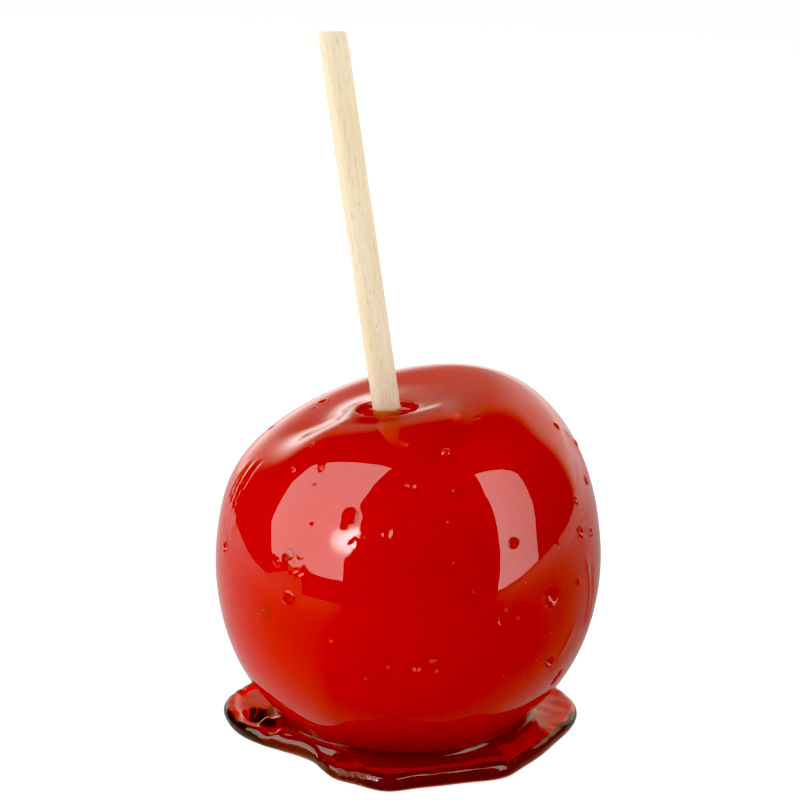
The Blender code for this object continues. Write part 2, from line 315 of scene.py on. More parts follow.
# The fruit's skin has those rows between two angles from its axis, and a few more to the stick
FRUIT_ANGLES = (176, 20)
FRUIT_TOP_ROWS = 4

# Dowel: its sides and rings, and the share of the rings that lie below its eased edge
DOWEL_SIDES = 72
DOWEL_RINGS = 260
STRAIGHT_SHARE = 0.95

# Rounds of finer faces near the marks. Each one reaches over so many radii of a bubble and a margin
# in millimetres. Crazed places, air bubbles and bubbles over a radius miss the last round, and the
# furrows have the first alone; they reach over so many radii, or half-widths, of their own
MARK_REACHES = (2.1, 1.6, 1.3)
MARK_MARGIN = 0.2
LARGE_BUBBLE = 1.6
PATCH_REACH = 1.2
FURROW_REACH = 2.0


def smooth_curve(points):
    """Natural cubic spline through (position, value) points."""
    x, y = np.array(points, float).T
    span = np.diff(x)
    system = np.eye(len(x))
    right_side = np.zeros(len(x))
    for i in range(1, len(x) - 1):
        system[i, i - 1:i + 2] = span[i - 1], 2 * (span[i - 1] + span[i]), span[i]
        right_side[i] = 6 * ((y[i + 1] - y[i]) / span[i] - (y[i] - y[i - 1]) / span[i - 1])
    bend = np.linalg.solve(system, right_side)

    def curve(t):
        i = np.clip(np.searchsorted(x, t) - 1, 0, len(span) - 1)
        a = (x[i + 1] - t) / span[i]
        b = 1 - a
        arch = (a ** 3 - a) * bend[i] + (b ** 3 - b) * bend[i + 1]
        return a * y[i] + b * y[i + 1] + arch * span[i] ** 2 / 6

    return curve


def closed_curve(points):
    """Smooth curve of the azimuth that runs on past 360 degrees without a kink."""
    wrapped = [(azimuth + turn, value) for turn in (-360, 0, 360) for azimuth, value in points]
    return smooth_curve(wrapped)


def ease(t):
    """Smooth step from 0 to 1."""
    t = np.clip(t, 0, 1)
    return t * t * (3 - 2 * t)


def swelling(away, radius):
    """Height of a smooth swelling, which is 1 in the middle and about a third at its radius."""
    return np.exp(-(away / radius) ** 2)


high_side = smooth_curve(HIGH_SIDE)
low_side = smooth_curve(LOW_SIDE)
front_side = smooth_curve(FRONT_SIDE)
foot_reach = closed_curve(FOOT_REACH)
CENTRE = np.array((0, 0, CENTRE_HEIGHT))
AZIMUTHS = np.arange(AROUND) * 360 / AROUND


def lean(left, back):
    """Turn from upright to a lean to the left and then to the back."""
    left, back = np.radians(left), np.radians(back)
    to_left = np.array((
        (np.cos(left), 0, -np.sin(left)),
        (0, 1, 0),
        (np.sin(left), 0, np.cos(left)),
    ))
    to_back = np.array((
        (1, 0, 0),
        (0, np.cos(back), np.sin(back)),
        (0, -np.sin(back), np.cos(back)),
    ))
    return to_back @ to_left


LEAN = lean(LEAN_LEFT, LEAN_BACK)
STICK_LEAN = lean(STICK_LEAN_LEFT, -STICK_LEAN_FORWARD)
STICK_MIDDLE = CENTRE - (0, STICK_IN_FRONT, 0)


def direction(angle, azimuth):
    """Unit vectors at an angle from +Z and an azimuth."""
    angle, azimuth = np.radians(angle), np.radians(azimuth)
    around = np.sin(angle)
    upward = np.cos(angle) + 0 * azimuth
    return np.stack((around * np.cos(azimuth), around * np.sin(azimuth), upward), -1)


def on_axis(height):
    """Point on the stick's axis, at a distance along it from its middle."""
    return STICK_MIDDLE + STICK_LEAN @ (0, 0, height)


def ring(radius, height, azimuths=AZIMUTHS, turn=STICK_LEAN):
    """Ring about the stick's axis, square to it unless it is turned another way."""
    return on_axis(height) + np.asarray(radius)[..., None] * direction(90, azimuths) @ turn.T


def angles_from_axis(outward):
    """Angle from the apple's axis, and azimuth about it, of directions from its centre."""
    local = outward @ LEAN
    angle = np.degrees(np.arccos(np.clip(local[..., 2], -1, 1)))
    azimuth = np.degrees(np.arctan2(local[..., 1], local[..., 0]))
    return angle, azimuth


def coat_radius(outward):
    """Distance from the apple's centre to the outside of the toffee coat."""
    angle, azimuth = angles_from_axis(outward)
    high = 0.5 + 0.5 * np.cos(np.radians(azimuth - HIGH_SHOULDER_AZIMUTH))
    from_front = (azimuth - FRONT_AZIMUTH + 180) % 360 - 180
    top, below = FRONT_NARROWS
    narrowed = FRONT_LEAST + (1 - FRONT_LEAST) * ease((angle - top) / (below - top))
    top, below = FRONT_WIDENS
    widened = 1 + (FRONT_MOST - 1) * ease((below - angle) / (below - top))
    half_width = FRONT_HALF_WIDTH * np.where(from_front < 0, narrowed, widened)
    blend = FRONT_BLEND + np.maximum(FRONT_HALF_WIDTH - half_width, 0)
    front = ease(1 - (np.abs(from_front) - half_width) / blend)
    side = high_side(angle) * high + low_side(angle) * (1 - high)
    return side + (front_side(angle) - side) * front


def coat_thickness(outward):
    """Depth of toffee between the fruit's skin and the outside of the coat."""
    angle, _ = angles_from_axis(outward)
    pool_share = ease((POOL_EDGE_ANGLE - angle) / (POOL_EDGE_ANGLE - COAT_START_ANGLE))
    depth = COAT + (POOL - COAT) * pool_share
    thin_angle, thin_azimuth, half_width, thin_coat = THIN_PLACE
    away = np.degrees(np.arccos(np.clip(outward @ direction(thin_angle, thin_azimuth), -1, 1)))
    thin = ease(1 - away / half_width)
    return depth + (thin_coat - depth) * thin


def fruit_radius(outward):
    """Distance from the apple's centre to the fruit's skin, which is flat where it rests."""
    skin = coat_radius(outward) - coat_thickness(outward)
    down = np.clip(-outward[..., 2], 1e-3, 1)
    floor = (CENTRE_HEIGHT - UNDER_FRUIT) / down
    power = FLAT_BOTTOM_SHARPNESS
    return (skin ** -power + floor ** -power) ** (-1 / power)


def coat_point(angle, azimuth, share=0.0):
    """Point on the coat, from a direction that leans with the apple by a share of its lean."""
    outward = direction(angle, azimuth) @ lean(LEAN_LEFT * share, LEAN_BACK * share).T
    return CENTRE + coat_radius(outward)[..., None] * outward


def distance_on_coat(points, angle, azimuth):
    """Distance of points from a place on the coat."""
    return np.linalg.norm(points - coat_point(angle, np.array(azimuth)), axis=-1)


def flank_angle(height):
    """Angle from +Z, at each azimuth, where the coat's lower flank is at a height over the table."""
    above, below = (np.full(AROUND, angle) for angle in FLANK_ANGLES)
    for _ in range(HALVINGS):
        middle = (above + below) / 2
        high = coat_point(middle, AZIMUTHS)[:, 2] > height
        above = np.where(high, middle, above)
        below = np.where(high, below, middle)
    return above


# --- Foot ---

def upright(reach, height):
    """Points at a reach from the origin and a height, one at each azimuth."""
    points = np.asarray(reach)[..., None] * direction(90, AZIMUTHS)
    points[:, 2] = height
    return points


def distance_from_line(places, corners):
    """Distance of places from a line through some corners."""
    nearest = np.full(len(places), 1.0)
    for start, end in zip(corners, corners[1:]):
        along = np.clip((places - start) @ (end - start) / ((end - start) @ (end - start)), 0, 1)
        away = np.linalg.norm(places - start - along[:, None] * (end - start), axis=-1)
        nearest = np.minimum(nearest, away)
    return nearest


def foot_top(reach, contact, rim):
    """Height of the foot's top: it falls from the apple, with a trough and lumps, to the rim."""
    outward = (reach - contact) / (rim - contact)
    height = FOOT_AT_APPLE + (FOOT_AT_RIM - FOOT_AT_APPLE) * ease(outward)
    height = height - FOOT_TROUGH * np.sin(np.pi * outward) ** 2
    place = upright(reach, 0.0)
    for azimuth, distance, radius, lump in FOOT_LUMPS:
        middle = distance * direction(90, azimuth)
        away = np.linalg.norm(place - middle, axis=-1)
        height = height + lump * swelling(away, radius)
    folds = np.zeros(AROUND)
    for fold, half_width, line in FOOT_FOLDS:
        corners = [distance * MM * direction(90, azimuth) for azimuth, distance in line]
        away = distance_from_line(place, corners)
        folds += fold * MM * swelling(away, half_width * MM)
    wrinkles = [noise.noise(Vector(point) / FOOT_WRINKLE_LENGTH) for point in place]
    fade = ease(outward / FOLDS_START)
    return height + (folds + FOOT_WRINKLES * np.array(wrinkles)) * fade


def foot_rows(start_angle):
    """Rows of the foot from the middle of its underside to where it joins the coat."""
    rim = foot_reach(AZIMUTHS)
    contact_points = coat_point(flank_angle(FOOT_AT_APPLE), AZIMUTHS)
    contact = np.linalg.norm(contact_points[:, :2], axis=-1)
    round_over = FOOT_AT_RIM / 2
    top_end = rim - round_over
    top_start = contact + np.minimum(FILLET_WIDTH, 0.5 * (top_end - contact))
    rim_height = foot_top(top_end, contact, rim)

    rows = []
    for i in range(UNDERSIDE_ROWS):
        rows.append(upright(top_end * (i + 1) / (UNDERSIDE_ROWS + 1), 0.0))
    for i in range(RIM_ROWS):
        swing = np.pi * (i / (RIM_ROWS - 1) - 0.5)
        reach = top_end + round_over * np.cos(swing)
        rows.append(upright(reach, rim_height * (0.5 + 0.5 * np.sin(swing))))
    for i in range(1, TOP_ROWS + 1):
        reach = top_end + (top_start - top_end) * i / TOP_ROWS
        rows.append(upright(reach, foot_top(reach, contact, rim)))

    outer = rows[-1]
    corner = upright(contact, FOOT_AT_APPLE)
    upper = coat_point(start_angle, AZIMUTHS)
    for i in range(1, FILLET_ROWS):
        t = i / FILLET_ROWS
        rows.append((1 - t) ** 2 * outer + 2 * t * (1 - t) * corner + t * t * upper)
    return rows


# --- Relief of the coat ---

def strewn_bubbles():
    """Bubbles at random on the sides and back, as (angle, azimuth, radius, depth)."""
    chance = np.random.default_rng(STREWN_SEED)
    bubbles = []
    for _ in range(STREWN_BUBBLES):
        radius = chance.uniform(*STREWN_RADII)
        place = chance.uniform(*STREWN_ANGLES), chance.uniform(*STREWN_AZIMUTHS)
        bubbles.append((*place, radius, radius * chance.uniform(*STREWN_DEPTHS)))
    return bubbles


def ripple(points):
    """Height of the slow waves of the set surface."""
    heights = [sum(height * noise.noise(Vector((x + shift, y, z)) / length)
                   for length, height, shift in RIPPLES) for x, y, z in points]
    return np.array(heights)


def burst_bubble(away, radius, depth):
    """Height across a burst bubble: its hollow, with a lip where it is a small one."""
    hollow = np.clip(1 - (away / radius) ** 2, 0, 1)
    if radius > SMALL_BUBBLE * MM:
        return -depth * hollow ** SLUMPED_WALL
    lip = swelling(away - LIP_PLACE * radius, LIP_WIDTH * radius)
    return -depth * hollow ** STEEP_WALL + LIP_SHARE * abs(depth) * lip


def air_bubble(angle, azimuth, radius, half_depth):
    """Hollow in the coat, with its faces turned to its middle, as points and faces."""
    outward = direction(angle, azimuth)
    across = np.cross(outward, (0, 0, 1.0))
    across /= np.linalg.norm(across)
    upward = np.cross(across, outward)
    depth = half_depth + AIR_BUBBLE_SKIN
    middle = CENTRE + (coat_radius(outward) - depth * MM) * outward
    turn = np.radians(np.arange(AIR_BUBBLE_SIDES) * 360 / AIR_BUBBLE_SIDES)[:, None]
    rows = []
    for swing in np.radians(np.linspace(0, 180, AIR_BUBBLE_ROWS + 2)):
        around = radius * np.sin(swing) * (np.cos(turn) * across + np.sin(turn) * upward)
        rows.append(middle + (around + half_depth * np.cos(swing) * outward) * MM)
    return ring_strip(rows[1:-1], rows[0][0], rows[-1][0])


def coat_relief(points):
    """Height of the coat's marks above its smooth surface."""
    height = ripple(points)
    low, high = np.zeros((2, len(points)))
    for angle, azimuth, radius, depth in (*BUBBLES, *strewn_bubbles()):
        away = distance_on_coat(points, angle, azimuth)
        near = away < BUBBLE_REACH * radius * MM
        rise = burst_bubble(away[near], radius * MM, depth * MM)
        low[near] = np.minimum(low[near], rise)
        high[near] = np.maximum(high[near], rise)
    for angle, azimuth, radius, depth in TORN_BUBBLES:
        outward = direction(angle, azimuth)
        right = np.cross((0, 0, 1.0), outward) / np.sin(np.radians(angle)) / (radius * MM)
        away = points - coat_point(angle, np.array(azimuth))
        inside = np.clip(1 - (away * away).sum(-1) / (radius * MM) ** 2, 0, 1) ** TORN_WALL
        low = np.minimum(low, -depth * MM * inside * (0.5 + 0.5 * (away @ right)))
    height += low + high
    for angle, azimuth, radius, _ in AIR_BUBBLES:
        away = distance_on_coat(points, angle, azimuth)
        swell = swelling(away, AIR_BUBBLE_SPREAD * radius * MM)
        height += AIR_BUBBLE_SWELL * radius * MM * swell
    for angle, azimuth, radius, depth in DENTS:
        height -= depth * MM * swelling(distance_on_coat(points, angle, azimuth), radius * MM)
    for angle, azimuth, radius, rise in CRAZED_PLACES:
        away = distance_on_coat(points, angle, azimuth) / (radius * MM)
        for i in np.nonzero(away < CRAZED_REACH)[0]:
            share = rise * MM * np.exp(-away[i] ** CRAZED_EDGE)
            height[i] += share * noise.noise(Vector(points[i]) / CRAZE_LENGTH)
    for rise, half_width, line in FURROWS:
        away = distance_from_line(points, [coat_point(*np.array(place)) for place in line])
        height += rise * MM * swelling(away, half_width * MM)
    return height


# --- Meshes ---

def ring_strip(rows, first_pole, last_pole):
    """Vertices and faces of a closed solid from rings of points, from one pole to the other."""
    count = len(rows[0])
    points = np.concatenate([*rows, [first_pole], [last_pole]])
    first, last = len(points) - 2, len(points) - 1
    here = np.arange(count)
    after = (here + 1) % count
    faces = [
        np.stack((here, after, after + count, here + count), -1) + row * count
        for row in range(len(rows) - 1)
    ]
    faces = np.concatenate(faces).tolist()
    end = (len(rows) - 1) * count
    faces += [(first, b, a) for a, b in zip(here.tolist(), after.tolist())]
    faces += [(a + end, b + end, last) for a, b in zip(here.tolist(), after.tolist())]
    return points, faces


def refine_marks(points, faces, coat_start, coat_end):
    """Halve the faces of the coat near its marks, a few times, and keep the new ones on its form."""
    data = bpy.data.meshes.new("coat")
    data.from_pydata(points.tolist(), [], faces)
    shape = bmesh.new()
    shape.from_mesh(data)
    on_coat = np.zeros(len(points), bool)
    on_coat[coat_start + 2 * AROUND:coat_end - 2 * AROUND] = True
    bubbles = (*BUBBLES, *TORN_BUBBLES, *strewn_bubbles())
    for reach in MARK_REACHES:
        near = np.zeros(len(points), bool)
        first, last = reach == MARK_REACHES[0], reach == MARK_REACHES[-1]
        marks = [(*mark[:2], reach * mark[2] + MARK_MARGIN) for mark in bubbles
                 if not last or mark[2] < LARGE_BUBBLE]
        if not last:
            marks += [(*mark[:2], PATCH_REACH * mark[2])
                      for mark in (*CRAZED_PLACES, *AIR_BUBBLES)]
        for angle, azimuth, radius in marks:
            near |= distance_on_coat(points, angle, azimuth) < radius * MM
        for _, half_width, line in FURROWS:
            if first:
                corners = [coat_point(*np.array(place)) for place in line]
                near |= distance_from_line(points, corners) < FURROW_REACH * half_width * MM
        near &= on_coat
        shape.verts.ensure_lookup_table()
        shape.verts.index_update()
        edges = [edge for edge in shape.edges if all(near[vertex.index] for vertex in edge.verts)]
        bmesh.ops.subdivide_edges(shape, edges=edges, cuts=1, use_grid_fill=True)
        shape.verts.ensure_lookup_table()
        added = np.array([vertex.co for vertex in shape.verts[len(points):]])
        outward = added - CENTRE
        outward /= np.linalg.norm(outward, axis=-1)[:, None]
        added = CENTRE + coat_radius(outward)[:, None] * outward
        points = np.concatenate((points, added))
        on_coat = np.concatenate((on_coat, np.ones(len(added), bool)))
        for vertex, place in zip(shape.verts, points.tolist()):
            vertex.co = place
    shape.verts.index_update()
    faces = [[vertex.index for vertex in face.verts] for face in shape.faces]
    shape.free()
    bpy.data.meshes.remove(data)
    on_coat[coat_start:coat_end] = True
    return points, faces, on_coat


def make_piece(name, points, faces, material, node):
    """Smooth piece that stands for a node of the frame and rides on its body."""
    data = bpy.data.meshes.new(name)
    data.from_pydata(points.tolist(), [], faces)
    data.validate()
    data.shade_smooth()
    data.materials.append(material)
    return fit_piece(data, node)


def fit_piece(data, node):
    """Piece with a mesh, which stands for a node of the frame and rides on its body."""
    piece = bpy.data.objects.new(data.name, data)
    bpy.context.collection.objects.link(piece)
    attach(piece, "root")
    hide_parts(node)
    return piece


# --- Materials ---

# Settings that many nodes share
SMOOTH = {"interpolation_type": "SMOOTHSTEP"}
NUMBERS = {"data_type": "FLOAT"}
COLOURS = {"data_type": "RGBA"}
MULTIPLY = {"operation": "MULTIPLY"}
SUBTRACT = {"operation": "SUBTRACT"}
MULTIPLY_ADD = {"operation": "MULTIPLY_ADD"}

# How strongly the toffee takes up red, green and blue light, per metre: hardly any of the red, and
# nearly all of the blue within two millimetres
TOFFEE_TAKES = (20.0, 1750.0, 2500.0)

# Fruit's skin: its colours, the sizes of its patches, streaks and pores, how much a streak changes
# the blush, how much of a pore shows, and the limits of the patterns that these come from
GROUND_COLOURS = ("F2BC50", "F0D870")
BLUSH_COLOUR = "BE4A2C"
PORE_COLOUR = "F4E2A8"
PATCH_SIZE = 0.022
STREAK_WIDTH = 0.0016
STREAK_LENGTH = 0.025
STREAK_SHARES = (0.96, 1.04)
STREAK_LIMITS = (0.35, 0.70)
PORE_SPACING = 0.0035
PORE_SHARE = 0.55
PORE_LIMITS = (0.06, 0.10)

# Its blush grows deeper from one X to another, so that it is deepest towards the right, and fades
# from one height to another towards the top
BLUSH_GROWS = (-0.026, 0.034)
BLUSH_MOST = 0.72
BLUSH_FADES = (0.052, 0.068)
BLUSH_LEFT = 0.45

# Dowel: the colour of its wood, how strongly its grain stands out and how high, and the toffee that
# soaked in where it leaves the pit, as a colour and the two heights on its axis between which it ends
WOOD_COLOUR = "D9D0BB"
GRAIN_STRENGTH = 0.3
GRAIN_HEIGHT = 0.00005
SOAKED_COLOUR = "E6C4A0"
SOAKED_END = (0.0382, 0.0390)

# Tones of its grain, as metres across and along it, limits of the pattern, how much shows, and the
# colour. The fibres and pores are drawn as coarse as they need to be to show
TONES = (
    ("tone", 0.0030, 0.030, 0.30, 0.70, 0.55, "D0B98D"),
    ("fibres", 0.00035, 0.014, 0.35, 0.75, 0.45, "CCB489"),
    ("rays", 0.00024, 0.0020, 0.60, 0.72, 0.45, "B49266"),
    ("pores", 0.00022, 0.0060, 0.68, 0.78, 0.55, "9E774A"),
)


def linear(code):
    """Linear colour of an sRGB hex code."""
    srgb = np.array([int(code[i:i + 2], 16) / 255 for i in (0, 2, 4)])
    low = srgb / 12.92
    high = ((srgb + 0.055) / 1.055) ** 2.4
    return (*np.where(srgb <= 0.04045, low, high).tolist(), 1.0)


def new_material(name):
    """Node material, with its tree and its shader."""
    material = bpy.data.materials.new(name)
    material.use_nodes = True
    return material, material.node_tree, material.node_tree.nodes["Principled BSDF"]


def plug(tree, value, socket):
    """Give a socket a value, or link it to another socket or to a node's first live output."""
    if isinstance(value, bpy.types.Node):
        value = next(output for output in value.outputs if output.enabled)
    if isinstance(value, bpy.types.NodeSocket):
        tree.links.new(value, socket)
    else:
        socket.default_value = value


def add_node(tree, kind, settings, *values, **named):
    """Node with its settings. Its inputs, in order or by name, take values, sockets or nodes."""
    node = tree.nodes.new(kind)
    for name, setting in settings.items():
        setattr(node, name, setting)
    sockets = [socket for socket in node.inputs if socket.enabled]
    for socket, value in zip(sockets, values):
        plug(tree, value, socket)
    for name, value in named.items():
        plug(tree, value, next(s for s in sockets if s.name == name.replace("_", " ")))
    return node


def toffee_material():
    """Hard-crack sugar toffee: clear deep red glass that set in the air, so a mirror-smooth skin."""
    material, tree, shader = new_material("hard_crack_sugar_toffee")
    shader.inputs["Base Color"].default_value = (1, 1, 1, 1)
    shader.inputs["IOR"].default_value = 1.5
    shader.inputs["Roughness"].default_value = 0.02
    shader.inputs["Transmission Weight"].default_value = 1.0
    place = add_node(tree, "ShaderNodeTexCoord", {}).outputs["Object"]
    away = add_node(tree, "ShaderNodeVectorMath", {"operation": "DISTANCE"}, place, FROSTY_PLACE)
    frosty = add_node(tree, "ShaderNodeMapRange", SMOOTH,
                      away.outputs["Value"], FROSTY_CORE * FROSTY_RADIUS, FROSTY_RADIUS, 1.0, 0.0)
    crinkles = add_node(tree, "ShaderNodeTexNoise", {}, place, Scale=1 / CRINKLE_LENGTH, Detail=2.0)
    crinkles = add_node(tree, "ShaderNodeMath", MULTIPLY, crinkles, frosty)
    relief = add_node(tree, "ShaderNodeBump", {}, Strength=1.0, Distance=CRINKLE_HEIGHT,
                      Height=crinkles)
    plug(tree, relief, shader.inputs["Normal"])
    most = max(TOFFEE_TAKES)
    passed = [1 - taken / most for taken in TOFFEE_TAKES]
    absorption = add_node(tree, "ShaderNodeVolumeAbsorption", {}, (*passed, 1), most)
    plug(tree, absorption, tree.nodes["Material Output"].inputs["Volume"])
    return material


def fruit_material():
    """Skin of a ripe apple: a yellow ground with a red blush, fine streaks and pale pores."""
    material, tree, shader = new_material("ripe_apple_skin")
    shader.inputs["Roughness"].default_value = 0.45
    place = add_node(tree, "ShaderNodeTexCoord", {}).outputs["Object"]
    patches = add_node(tree, "ShaderNodeTexNoise", {}, place, Scale=1 / PATCH_SIZE, Detail=3.0)
    colour = add_node(tree, "ShaderNodeMix", COLOURS, patches,
                      *(linear(code) for code in GROUND_COLOURS))
    split = add_node(tree, "ShaderNodeSeparateXYZ", {}, place)
    # Share of the blush: deeper towards the right, streaked, and less towards the top
    blush_share = add_node(tree, "ShaderNodeMapRange", {}, split.outputs["X"], *BLUSH_GROWS, 0.0,
                     BLUSH_MOST)
    long_way = add_node(tree, "ShaderNodeMapping", {}, place,
                        Scale=(1 / STREAK_WIDTH, 1 / STREAK_WIDTH, 1 / STREAK_LENGTH))
    streaks = add_node(tree, "ShaderNodeTexNoise", {}, long_way, Scale=1.0, Detail=2.0)
    streaks = add_node(tree, "ShaderNodeMapRange", {}, streaks, *STREAK_LIMITS, *STREAK_SHARES)
    blush_share = add_node(tree, "ShaderNodeMath", MULTIPLY, blush_share, streaks)
    below = add_node(tree, "ShaderNodeMapRange", {}, split.outputs["Z"], *BLUSH_FADES, 1.0,
                     BLUSH_LEFT)
    blush_share = add_node(tree, "ShaderNodeMath", MULTIPLY, blush_share, below)
    colour = add_node(tree, "ShaderNodeMix", COLOURS, blush_share, colour, linear(BLUSH_COLOUR))
    pores = add_node(tree, "ShaderNodeTexVoronoi", {}, place, Scale=1 / PORE_SPACING)
    pores = add_node(tree, "ShaderNodeMapRange", {}, pores.outputs["Distance"], *PORE_LIMITS,
                     PORE_SHARE, 0.0)
    colour = add_node(tree, "ShaderNodeMix", COLOURS, pores, colour, linear(PORE_COLOUR))
    plug(tree, colour, shader.inputs["Base Color"])
    return material


def dowel_material():
    """Beech dowel, turned and left bare: pale and dull, with brown flecks along the grain."""
    material, tree, shader = new_material("bare_beech_dowel")
    shader.inputs["Roughness"].default_value = 0.6
    place = add_node(tree, "ShaderNodeAttribute", {"attribute_name": "along_grain"})
    place = place.outputs["Vector"]
    colour = linear(WOOD_COLOUR)
    for name, across, along, low, high, most, code in TONES:
        scale = (1 / across, 1 / across, 1 / along)
        grain = add_node(tree, "ShaderNodeMapping", {"name": name}, place, Scale=scale)
        lines = add_node(tree, "ShaderNodeTexNoise", {}, grain, Scale=1.0, Detail=1.0)
        share = add_node(tree, "ShaderNodeMapRange", {}, lines, low, high, 0.0, most)
        colour = add_node(tree, "ShaderNodeMix", COLOURS, share, colour, linear(code))
    height = add_node(tree, "ShaderNodeSeparateXYZ", {}, place).outputs["Z"]
    soaked = add_node(tree, "ShaderNodeMapRange", {}, height, *SOAKED_END, 1.0, 0.0)
    colour = add_node(tree, "ShaderNodeMix", COLOURS, soaked, colour, linear(SOAKED_COLOUR))
    plug(tree, colour, shader.inputs["Base Color"])
    relief = add_node(tree, "ShaderNodeBump", {}, GRAIN_STRENGTH, GRAIN_HEIGHT, Height=lines)
    plug(tree, relief, shader.inputs["Normal"])
    return material


# --- Pieces ---

def skin_on_axis(offset=0.0):
    """Distance along the stick's axis to the fruit's skin, raised by an offset."""
    height = float(fruit_radius(STICK_LEAN[:, 2]))
    for _ in range(STEPS_TO_SKIN):
        place = on_axis(height) - CENTRE
        distance = np.linalg.norm(place)
        height += fruit_radius(place / distance) + offset - distance
    return height


def fruit_skin(offset, count):
    """Rows of the fruit's skin, raised by an offset, from its underside to the stick."""
    rows = []
    for angle in np.linspace(*FRUIT_ANGLES, count):
        outward = direction(angle, AZIMUTHS) @ LEAN.T
        rows.append(CENTRE + (fruit_radius(outward) + offset)[:, None] * outward)
    last = ring(INNER_BORE, skin_on_axis(offset))
    first = rows[-1]
    for i in range(FRUIT_TOP_ROWS):
        rows.append(first + (last - first) * (i + 1) / FRUIT_TOP_ROWS)
    return rows


def fruit_bottom(offset):
    """Lowest point of the fruit's skin, lowered by an offset."""
    down = LEAN @ (0, 0, -1)
    return CENTRE + (fruit_radius(down) + offset) * down


def pit_rows():
    """Rings of the pit, with the crinkles that the skin of the pool made at its two ends."""
    turn = lean(STICK_LEAN_LEFT * PIT_TILT_SHARE, PIT_TILT_BACK)
    across = np.abs(np.cos(np.radians(AZIMUTHS)))
    crinkled = ease((across - TEETH_START) / TEETH_GROWTH)
    waves = np.array([noise.noise(Vector(way) * TEETH_CLOSENESS)
                      for way in direction(90, AZIMUTHS)])
    rows = []
    for row, (radius, height) in enumerate(PIT):
        teeth = PIT_TEETH * swelling(row - TEETH_ROW, TEETH_ROWS) * crinkled * waves
        rows.append(ring(radius + teeth, height, turn=turn))
    return rows


def pool_rows(before, outer, inner):
    """Rows of the pool, which leave the coat along its slope and reach the pit straight across."""
    slope, across = outer - before, inner - outer
    step = np.linalg.norm(slope, axis=-1)[:, None]
    leaving = slope / step * np.linalg.norm(across, axis=-1)[:, None]
    rows = []
    for i in range(1, POOL_ROWS):
        t = i / POOL_ROWS
        rows.append((2 * t ** 3 - 3 * t ** 2 + 1) * outer + (t ** 3 - 2 * t ** 2 + t) * leaving
                    + (3 * t ** 2 - 2 * t ** 3) * inner + (t ** 3 - t ** 2) * across)
    return rows


def make_toffee():
    """Coat, pool and foot in one piece, hollow where the fruit sits and open at the stick."""
    start_angle = flank_angle(FOOT_AT_APPLE + FILLET_RISE)
    rows = foot_rows(start_angle)
    coat_start = len(rows)
    for i in range(COAT_ROWS + 1):
        share = i / COAT_ROWS
        angle = start_angle + (COAT_START_ANGLE - start_angle) * share
        rows.append(coat_point(angle, AZIMUTHS, ease(share)))
    coat_end = len(rows)
    pit = pit_rows()
    rows += pool_rows(rows[-2], rows[-1], pit[0]) + pit
    rows += reversed(fruit_skin(-OVERLAP, CAVITY_ROWS))
    points, faces = ring_strip(rows, (0, 0, 0), fruit_bottom(-OVERLAP))
    points, faces, on_coat = refine_marks(points, faces, coat_start * AROUND, coat_end * AROUND)
    outward = points[on_coat] - CENTRE
    outward /= np.linalg.norm(outward, axis=-1)[:, None]
    points[on_coat] += coat_relief(points[on_coat])[:, None] * outward
    for bubble in AIR_BUBBLES:
        hollow, walls = air_bubble(*bubble)
        faces += [[corner + len(points) for corner in wall] for wall in walls]
        points = np.concatenate((points, hollow))
    return make_piece("toffee_shell", points, faces, toffee_material(), "toffee")


def make_fruit():
    """Fruit with its skin just inside the toffee's wall, so that no air gap shows."""
    rows = fruit_skin(0.0, FRUIT_ROWS) + [ring(INNER_BORE, STICK_END)]
    points, faces = ring_strip(rows, fruit_bottom(0.0), on_axis(STICK_END))
    return make_piece("apple_fruit", points, faces, fruit_material(), "apple")


